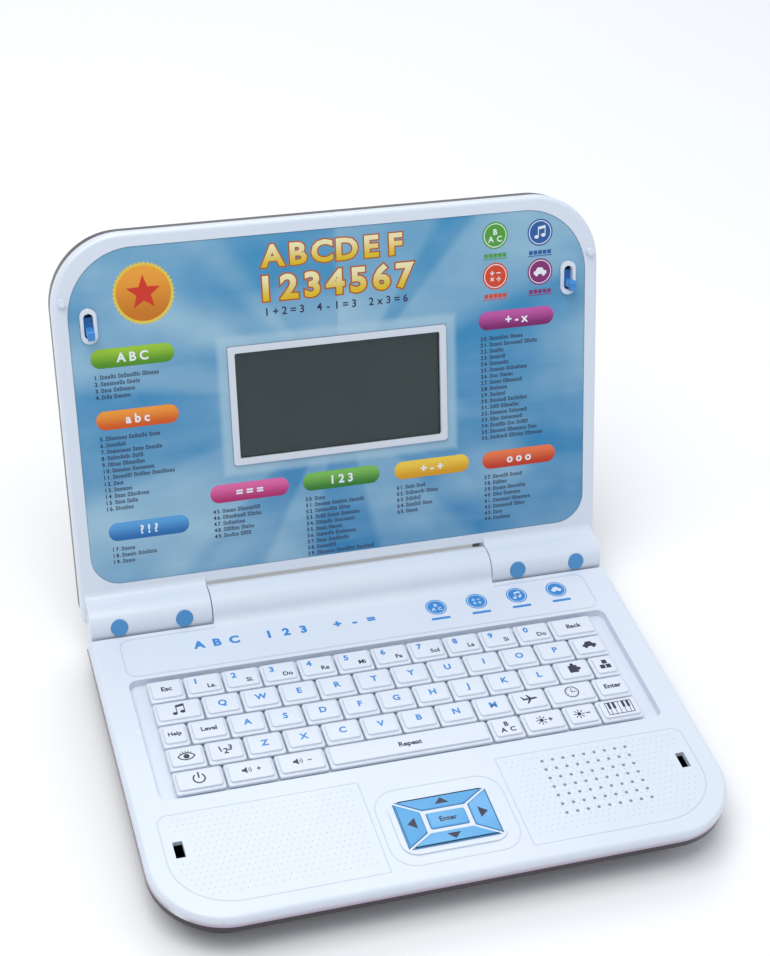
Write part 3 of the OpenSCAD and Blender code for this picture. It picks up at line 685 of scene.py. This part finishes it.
keys("volume_up_key", [(-86.6, -63.8, 4)], picture_print(speaker_picture(1), 2.6))
keys("volume_down_key", [(-63.8, -40.6, 4)], picture_print(speaker_picture(-1), 2.6))
keys("bright_up_key", [(51.6, 72.2, 4)], picture_print(sun_picture(1), 2.9))
keys("bright_down_key", [(72.2, 88.6, 4)], picture_print(sun_picture(-1), 2.9))


def spell_print(sheet, i, x, row):
    for text, dx, dy in (("A", -2.2, -1.9), ("B", 0.0, 1.6), ("C", 2.2, -1.9)):
        key_label(sheet, text, x, row, 2.6, dx, dy)


keys("spell_key", [(35.8, 51.6, 4)], spell_print)


def piano_print(sheet, i, x, row):
    y = row_y[row]
    key_ink(sheet, rounded_box(13, 7.6, 0.2, x, y, 2), 0.02, rounded_box(12.2, 6.8, 0.1, x, y, 2))
    for k in range(-2, 3):
        key_ink(sheet, bar(x + 2.3 * k, y - 3.3, x + 2.3 * k, y + 3.3, 0.3))
        if k != 0:
            key_ink(sheet, rounded_box(1.3, 3.8, 0.1, x + 2.3 * k, y + 1.6, 2), 0.025)


keys("piano_key", [(88.6, keys_half, 4)], piano_print)


# ---------------------------------------------------------------- direction pad
# Five sky-blue ABS buttons in the raised plinth, with arrows and Enter printed on them.
# Each has softly rounded edges and a short post down to its dome.
pad_abs = moulded_plastic("sky_blue_abs", "#5FA9DF", "#68B1E6", 0.3, 1.5, 0.006)
pad_top = 26.1


def shrunk(outline, by):
    """The outline moved inwards by that much, along its corners' bisectors."""
    n, inner = len(outline), []
    for i in range(n):
        p, q, r = (Vector(outline[(i + k) % n]) for k in (-1, 0, 1))
        a, b = (q - p).normalized(), (r - q).normalized()
        left = Vector((-a.y, a.x)) + Vector((-b.y, b.x))
        left = left.normalized() / max(0.3, math.cos(a.angle(b) / 2))
        inner.append((q.x + left.x * by, q.y + left.y * by))
    return inner


def softened_corners(outline, r, steps=3):
    """Cuts each corner of a polygon with a small round of about r."""
    n, points = len(outline), []
    for i in range(n):
        p, q, s = (Vector(outline[(i + k) % n]) for k in (-1, 0, 1))
        a, b = q + (p - q).normalized() * r, q + (s - q).normalized() * r
        for k in range(steps + 1):
            t = k / steps
            points.append(tuple(a * (1 - t) ** 2 + q * 2 * t * (1 - t) + b * t ** 2))
    return points


def pad_button(node, outline, post, arrow=None, text=None):
    """One button on its post, with an arrow or a word printed on it."""
    shell = bmesh.new()
    outline = softened_corners([(x, y + pad_y) for x, y in outline], 0.9)
    rings = []
    for inset, z in ((0, 20.8), (0, pad_top - 0.5), (0.08, pad_top - 0.25), (0.25, pad_top - 0.08),
                     (0.55, pad_top)):
        if text:
            ring = rounded_box(17 - 2 * inset, 8.4 - 2 * inset, 1, 0, pad_y, 4)
        else:
            ring = shrunk(outline, inset) if inset else outline
        rings.append([(x, y, z) for x, y in ring])
    loft(shell, rings, deck_place)
    block(shell, (post[0] - 2.4, post[1] + pad_y - 1.6, 16.9),
          (post[0] + 2.4, post[1] + pad_y + 1.6, 20.9), deck_place)
    body = node + "_body"
    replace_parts(make_piece(shell, node + "_button", body, [pad_abs], 40), node)
    sheet = bmesh.new()
    if text:
        word(sheet, text, 0, pad_y, 2.6, deck_place, pad_top + 0.02, 0, 0.03)
    else:
        slab(sheet, [(x, y + pad_y) for x, y in arrow], deck_place, pad_top + 0.02, 0.05, 0)
    make_piece(sheet, node + "_print", body, [navy_ink])


top_shape = [(-9.4, 6.4), (9.4, 6.4), (19.6, 12.8), (-19.6, 12.8)]
right_shape = [(11, -5.6), (21, -12), (21, 12), (11, 5.6)]
pad_button("pad_up", top_shape, (0, 9.6), [(-3.2, 8.2), (3.2, 8.2), (0, 11.4)])
pad_button("pad_down", [(x, -y) for x, y in top_shape][::-1], (0, -9.6),
           [(3.2, -8.2), (-3.2, -8.2), (0, -11.4)])
pad_button("pad_right", right_shape, (16.5, 0), [(14.3, -3), (18.2, 0), (14.3, 3)])
pad_button("pad_left", [(-x, y) for x, y in right_shape][::-1], (-16.5, 0),
           [(-14.3, 3), (-18.2, 0), (-14.3, -3)])
pad_button("pad_enter", [(-8.5, -4.2), (8.5, -4.2), (8.5, 4.2), (-8.5, 4.2)], (0, 0), text="Enter")


# ---------------------------------------------------------------- lid shells
# The lid is a white front frame and a plum back, both ABS, screwed together round the
# display. Two white knuckles at its foot turn on the base's barrel.
softened("lid_front_shell", "lid_frame_shell", "lid", white_abs, 0.25)
# The back takes the tub's near-black plum, with the same painted shade in its colour.
finish_cad("lid_back_shell", plum_abs)
softened("lid_bumpers", "lid_stops", "lid", white_abs, 0.3)
cap_abs = moulded_plastic("blue_cap_abs", "#4A8EC8", "#5398D0", 0.3, 1.5, 0.006)
softened("hinge_caps", "knuckle_discs", "lid", cap_abs, 0.3)

lean = math.radians(22)
# Lid print is drawn in millimetres too: x right, v up the lid from the hinge, o out of its face.
lid_place = Matrix.Translation((0, hinge_y, hinge_z)) @ Matrix((
    (MM, 0, 0, 0), (0, MM * math.sin(lean), -MM * math.cos(lean), 0),
    (0, MM * math.cos(lean), MM * math.sin(lean), 0), (0, 0, 0, 1)))


# ---------------------------------------------------------------- overlay sheet
# A printed plastic sheet glued in the recess of the frame: a blue sky with pale drifting
# cloud and rays that spread from the display, under a satin varnish.
display_v, display_half_w, display_half_h = 0.0956, 0.0527, 0.0281
overlay, shader = start_material("printed_sky_sheet")
where = add(overlay, "ShaderNodeTexCoord")
flat = add(overlay, "ShaderNodeMapping", {"Vector": where.outputs["Object"],
                                          "Location": (0, -hinge_y, -hinge_z)}, vector_type="POINT")
upright = add(overlay, "ShaderNodeVectorRotate", {"Vector": flat.outputs[0], "Axis": (1, 0, 0),
                                                  "Angle": lean - math.pi / 2}, rotation_type="AXIS_ANGLE")
split = add(overlay, "ShaderNodeSeparateXYZ", {"Vector": upright.outputs[0]})
sky = add(overlay, "ShaderNodeMapRange", {0: split.outputs[1], 1: 0.02, 2: 0.17, 3: 0.0, 4: 1.0})
blue = add(overlay, "ShaderNodeMix", {0: sky.outputs[0], 6: linear("#2A80B4"), 7: linear("#4090BE")},
           data_type="RGBA")
rise = add(overlay, "ShaderNodeMath", {0: split.outputs[1], 1: display_v}, operation="SUBTRACT")
slant = add(overlay, "ShaderNodeMapping", {"Vector": upright.outputs[0], "Rotation": (0, 0, -0.6),
                                           "Scale": (6.0, 26.0, 1.0)}, vector_type="POINT")
drift = add(overlay, "ShaderNodeTexNoise", {"Vector": slant.outputs[0], "Scale": 1.0, "Detail": 4.0,
                                            "Roughness": 0.5, "Distortion": 0.4})
haze = add(overlay, "ShaderNodeTexNoise", {"Vector": upright.outputs[0], "Scale": 14.0, "Detail": 3.0})
thin = add(overlay, "ShaderNodeMapRange", {0: drift.outputs[0], 1: 0.42, 2: 0.66, 3: 0.0, 4: 0.35})
turn = add(overlay, "ShaderNodeMath", {0: split.outputs[0], 1: rise.outputs[0]}, operation="ARCTAN2")
wedge = add(overlay, "ShaderNodeTexNoise", {"W": turn.outputs[0], "Scale": 1.7, "Detail": 1.0},
            noise_dimensions="1D")
ray = add(overlay, "ShaderNodeMapRange", {0: wedge.outputs[0], 1: 0.47, 2: 0.56, 3: 0.0, 4: 0.3},
          interpolation_type="SMOOTHSTEP")
soft = add(overlay, "ShaderNodeMapRange", {0: haze.outputs[0], 1: 0.4, 2: 0.7, 3: 0.0, 4: 0.5})
streaks = add(overlay, "ShaderNodeMath", {0: thin.outputs[0], 1: ray.outputs[0]}, operation="ADD")
both = add(overlay, "ShaderNodeMath", {0: streaks.outputs[0], 1: soft.outputs[0]}, operation="ADD",
           use_clamp=True)
cloudy = add(overlay, "ShaderNodeMix", {0: both.outputs[0], 6: blue.outputs[2], 7: linear("#A6C9DA")},
             data_type="RGBA")
# A pale halo is printed round the display: the distance outside its frame fades from white to sky.
from_middle = add(overlay, "ShaderNodeMath", {0: split.outputs[0]}, operation="ABSOLUTE")
across = add(overlay, "ShaderNodeMath", {0: from_middle.outputs[0], 1: display_half_w},
             operation="SUBTRACT")
rise_both = add(overlay, "ShaderNodeMath", {0: rise.outputs[0]}, operation="ABSOLUTE")
above = add(overlay, "ShaderNodeMath", {0: rise_both.outputs[0], 1: display_half_h},
            operation="SUBTRACT")
outside = add(overlay, "ShaderNodeMath", {0: across.outputs[0], 1: above.outputs[0]}, operation="MAXIMUM")
halo = add(overlay, "ShaderNodeMapRange", {0: outside.outputs[0], 1: 0.003, 2: 0.0065, 3: 0.6, 4: 0.0},
           interpolation_type="SMOOTHSTEP")
printed = add(overlay, "ShaderNodeMix", {0: halo.outputs[0], 6: cloudy.outputs[2], 7: linear("#AFCEDC")},
              data_type="RGBA")
overlay.node_tree.links.new(printed.outputs[2], shader.inputs["Base Color"])
ripple = add(overlay, "ShaderNodeTexNoise", {"Vector": where.outputs["Object"], "Scale": 120.0})
relief = add(overlay, "ShaderNodeBump", {"Height": ripple.outputs[0], "Strength": 1.0, "Distance": 0.00002})
overlay.node_tree.links.new(relief.outputs[0], shader.inputs["Normal"])
shader.inputs["Roughness"].default_value = 0.3
shader.inputs["IOR"].default_value = 1.5
finish_cad("overlay_panel", overlay)
sheet_top = -2.28


def lid_ink(sheet, outline, lift=0.03, ink=0, hole=None, thick=0.05):
    """One printed patch, lift mm above the sheet."""
    slab(sheet, outline, lid_place, sheet_top + lift, thick, ink, hole)


def graded_ink(name, low, high, v, tall):
    """Screen-printed blend of two inks that runs up the lid, over tall mm centred on v."""
    material, shader = start_material(name)
    where = add(material, "ShaderNodeTexCoord")
    up = add(material, "ShaderNodeVectorMath", {0: where.outputs["Object"],
                                                1: (0, math.sin(lean), math.cos(lean))},
             operation="DOT_PRODUCT")
    foot = hinge_y * math.sin(lean) + hinge_z * math.cos(lean) + (v - tall / 2) * MM
    fade = add(material, "ShaderNodeMapRange", {0: up.outputs["Value"], 1: foot, 2: foot + tall * MM,
                                                3: 0.0, 4: 1.0}, interpolation_type="SMOOTHSTEP")
    tint = add(material, "ShaderNodeMix", {0: fade.outputs[0], 6: linear(low), 7: linear(high)},
               data_type="RGBA")
    material.node_tree.links.new(tint.outputs[2], shader.inputs["Base Color"])
    shader.inputs["Roughness"].default_value = 0.25
    shader.inputs["IOR"].default_value = 1.5
    return material


# Badge: a serrated gold seal with an orange face and a red star.
gold_ink = printed_ink("gold_ink", "#E6D052", "#E0BC3C")
orange_ink = graded_ink("orange_ink", "#C9761A", "#EFA23A", 152.2, 24)
red_ink = printed_ink("red_ink", "#D8361F", "#CC2E1B")
badge = bmesh.new()
badge_x, badge_v = -88.8, 152.2
teeth = 44
seal = [(badge_x + r * math.cos(a), badge_v + r * math.sin(a))
        for a, r in ((math.pi * i / teeth, 14.2 if i % 2 else 13.3) for i in range(2 * teeth))]
lid_ink(badge, seal)
lid_ink(badge, disc(badge_x, badge_v, 12.4, n=64), 0.05, 1)
star = [(badge_x + r * math.sin(a), 152.4 + r * math.cos(a))
        for a, r in ((math.pi * i / 5, 3.4 if i % 2 else 8.2) for i in range(10))][::-1]
lid_ink(badge, star, 0.08, 2)
make_piece(badge, "badge", "lid", [gold_ink, orange_ink, red_ink])

# Title: two lines of round yellow letters and numerals, rimmed in dark orange, with a navy
# line of sums under them.
rim_ink = printed_ink("burnt_orange_ink", "#B5601C", "#A9561A")
yellow_inks = [graded_ink("yellow_ink_upper", "#DDBB22", "#F0E7B8", 163.8, 10),
               graded_ink("yellow_ink_lower", "#DDBB22", "#F0E7B8", 149.2, 11.4)]
title = bmesh.new()
for line, (text, v, height, step) in enumerate((("ABCDEF", 163.8, 9.8, 11.6),
                                                ("1234567", 149.2, 11.2, 11.0))):
    for i, letter in enumerate(text):
        at = (i - (len(text) - 1) / 2) * step
        word(title, letter, at, v, height, lid_place, sheet_top + 0.03, 0, 0.08, 0.0, 1.1)
        word(title, letter, at, v, height, lid_place, sheet_top + 0.07, 1 + line, 0.035, 0.0, 1.1)
make_piece(title, "title", "lid", [rim_ink] + yellow_inks)
sums = bmesh.new()
for i, sign in enumerate("1+2=3 4-1=3 2x3=6"):
    if sign != " ":
        word(sums, sign, -33 + i * 4.15, 138.2, 3.6, lid_place, sheet_top + 0.02, 0, 0.02)
make_piece(sums, "title_line", "lid", [navy_ink])

# Subject rounds: four coloured discs with a light ring and a white picture, each over a
# row of small blocks and a thin line.
white_ink = printed_ink("white_ink", "#EDF2F6", "#E4EBF2")
green_ink = printed_ink("green_ink", "#57A63A", "#4C9A34")
blue_ink = printed_ink("deep_blue_ink", "#2C63A8", "#275A9C")
scarlet_ink = printed_ink("scarlet_ink", "#DE4B2B", "#D4421F")
purple_ink = printed_ink("purple_ink", "#8E2F78", "#82286E")
rounds = bmesh.new()
for k, (x, v) in enumerate(((78, 163), (100.5, 162.5), (78, 144), (100.5, 144))):
    lid_ink(rounds, disc(x, v, 6.3, n=40), 0.03, k + 1)
    lid_ink(rounds, disc(x, v, 5.6, n=40), 0.045, 0, disc(x, v, 5.2, n=40))
    if k == 0:
        for letter, dx, dv in (("A", -2.1, -1.6), ("B", 0, 1.7), ("C", 2.1, -1.6)):
            word(rounds, letter, x + dx, v + dv, 2.7, lid_place, sheet_top + 0.06, 0, 0.03)
    else:
        picture = (note_picture, sums_picture, car_picture)[k - 1]()
        draw(rounds, picture, x, v, 3.2, lid_place, sheet_top + 0.06, 0)
    for b in range(5):
        lid_ink(rounds, rounded_box(1.9, 1.9, 0.3, x - 4.6 + 2.3 * b, v - 9.3, 2), 0.03, k + 1)
    lid_ink(rounds, rounded_box(12.2, 0.4, 0.1, x, v - 10.9, 2), 0.03, k + 1)
make_piece(rounds, "subject_rounds", "lid",
           [white_ink, green_ink, blue_ink, scarlet_ink, purple_ink])


# Headings: glossy coloured lozenges, lighter along their upper half, each over a numbered
# list whose words are set as plain rows of small blocks.
spelling = random.Random(5)
line_pitch = 3.05


def heading(name, x, v, text, low, high, first, lines):
    """The lozenge at x, v with its ink graded from low to high, and its list from number first."""
    sheet = bmesh.new()
    lid_ink(sheet, rounded_box(38, 8.8, 4.3, x, v, 8), 0.06, 0, None, 0.08)
    word(sheet, text, x, v, 4.2, lid_place, sheet_top + 0.09, 1, 0.03)
    for i in range(lines):
        at = x - 17.5
        y = v - 8.4 - i * line_pitch
        for digit in str(first + i):
            word(sheet, digit, at, y, 1.9, lid_place, sheet_top + 0.03, 2, 0.03)
            at += 1.75
        lid_ink(sheet, rounded_box(0.4, 0.4, 0.1, at - 0.5, y - 0.75, 1), 0.03, 2)
        at += 0.4
        for letters in [spelling.randint(4, 9) for _ in range(spelling.choice((1, 2, 2, 2, 3)))]:
            for k in range(letters):
                tall = 1.9 if k == 0 or spelling.random() < 0.25 else 1.4
                wide = 1.1 if k == 0 else spelling.choice((0.5, 0.95, 0.95, 0.95))
                if at + wide > x + 23:
                    break
                middle_x, middle_y = at + wide / 2, y - 0.95 + tall / 2
                lid_ink(sheet, rounded_box(wide, tall, 0.15, middle_x, middle_y, 1), 0.03, 2,
                        rounded_box(max(0.12, wide - 0.62), tall - 0.7, 0.05, middle_x, middle_y, 1))
                at += wide + 0.32
            at += 0.8
    inks = [graded_ink(name + "_ink", low, high, v, 8.5), white_ink, navy_ink]
    make_piece(sheet, name, "lid", inks)


heading("heading_green", -96, 124.6, "A B C", "#4E8F1E", "#9CC83A", 1, 4)
heading("heading_orange", -96, 96, "a b c", "#D4561A", "#F29A3A", 5, 12)
heading("heading_blue", -95, 42.5, "? ! ?", "#2469AC", "#5AA2DC", 17, 3)
heading("heading_pink", -46, 54.5, "= = =", "#B02A6C", "#E46AA6", 45, 5)
heading("heading_leaf", -1, 54.8, "1 2 3", "#2E7A2A", "#7DBE55", 50, 10)
heading("heading_amber", 44.6, 54.6, "+ - +", "#D89A18", "#F4CE4A", 61, 5)
heading("heading_red", 89.6, 54.1, "o o o", "#C4341F", "#F07A4A", 37, 8)
heading("heading_purple", 88.4, 123, "+ - x", "#7C1F66", "#C45AA6", 20, 17)


# ---------------------------------------------------------------- display
# A grey reflective liquid-crystal panel behind a clear acrylic window, in a raised
# white ABS frame.
bezel_abs = moulded_plastic("white_bezel_abs", "#D4DAE3", "#DBE0E8", 0.3, 1.5, 0.006)
softened("lcd_bezel", "display_frame", "lid", bezel_abs, 0.35)

# Unlit liquid-crystal glass: dark green-grey and smooth, a little cloudy from the diffuser behind.
lcd_glass, shader = start_material("liquid_crystal_glass")
where = add(lcd_glass, "ShaderNodeTexCoord")
cloud = add(lcd_glass, "ShaderNodeTexNoise", {"Vector": where.outputs["Object"],
                                              "Scale": 25.0, "Detail": 2.0})
tint = add(lcd_glass, "ShaderNodeMix", {0: cloud.outputs[0], 6: linear("#3A4A48"), 7: linear("#4C5C58")},
           data_type="RGBA")
lcd_glass.node_tree.links.new(tint.outputs[2], shader.inputs["Base Color"])
shader.inputs["Roughness"].default_value = 0.15
finish_cad("lcd_module", lcd_glass)

# Clear acrylic sheet: IOR 1.49, polished, fully transmitting.
acrylic, shader = start_material("clear_acrylic_sheet")
shader.inputs["Base Color"].default_value = linear("#E6EEF0")
shader.inputs["Transmission Weight"].default_value = 1.0
shader.inputs["Roughness"].default_value = 0.03
shader.inputs["IOR"].default_value = 1.49
where = add(acrylic, "ShaderNodeTexCoord")
wave = add(acrylic, "ShaderNodeTexNoise", {"Vector": where.outputs["Object"], "Scale": 60.0})
relief = add(acrylic, "ShaderNodeBump", {"Height": wave.outputs[0], "Strength": 1.0, "Distance": 0.00001})
acrylic.node_tree.links.new(relief.outputs[0], shader.inputs["Normal"])
finish_cad("lcd_window", acrylic)


# ---------------------------------------------------------------- latches
# Two sprung blue ABS hooks at the top of the lid, which catch in the slots of the palm
# rests when the lid is shut.
hook_abs = moulded_plastic("blue_hook_abs", "#3585CC", "#3F8FD6", 0.28, 1.5, 0.006)
softened("latch_hook_left", "hook_left", "latch_left", hook_abs, 0.25)
softened("latch_hook_right", "hook_right", "latch_right", hook_abs, 0.25)

# Each hook is pushed down by a coil spring of 0.6 mm zinc-plated wire, which shortens by 2.8 mm
# against the wall above it as the hook is pressed.
spring_foot, spring_length, spring_o, turns = 143.8, 12.6, -6.6, 7
wire_r, coil_r = 0.3, 1.38
for side, name in ((-1, "left"), (1, "right")):
    coil, rings = bmesh.new(), []
    for i in range(turns * 14 + 1):
        a = 2 * math.pi * i / 14
        out = Vector((math.cos(a), 0, math.sin(a)))
        along = Vector((-1.4 * math.sin(a), spring_length / turns / (2 * math.pi), 1.4 * math.cos(a)))
        across = along.normalized().cross(out)
        middle = Vector((side * latch_x, spring_foot + 0.35 + (spring_length - 0.7) * i / (turns * 14),
                         spring_o)) + coil_r * out
        rings.append([middle + wire_r * (math.cos(b) * out + math.sin(b) * across)
                      for b in [math.pi * k / 4 for k in range(8)]])
    loft(coil, rings, lid_place)
    bmesh.ops.recalc_face_normals(coil, faces=coil.faces)
    spring = make_piece(coil, "coil_spring_" + name, "lid", [zinc_steel])
    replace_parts(spring, "latch_spring_" + name)
    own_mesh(spring)

# The letters' own meshes have all been copied into the prints.
for mesh in word_meshes.values():
    bpy.data.meshes.remove(mesh)
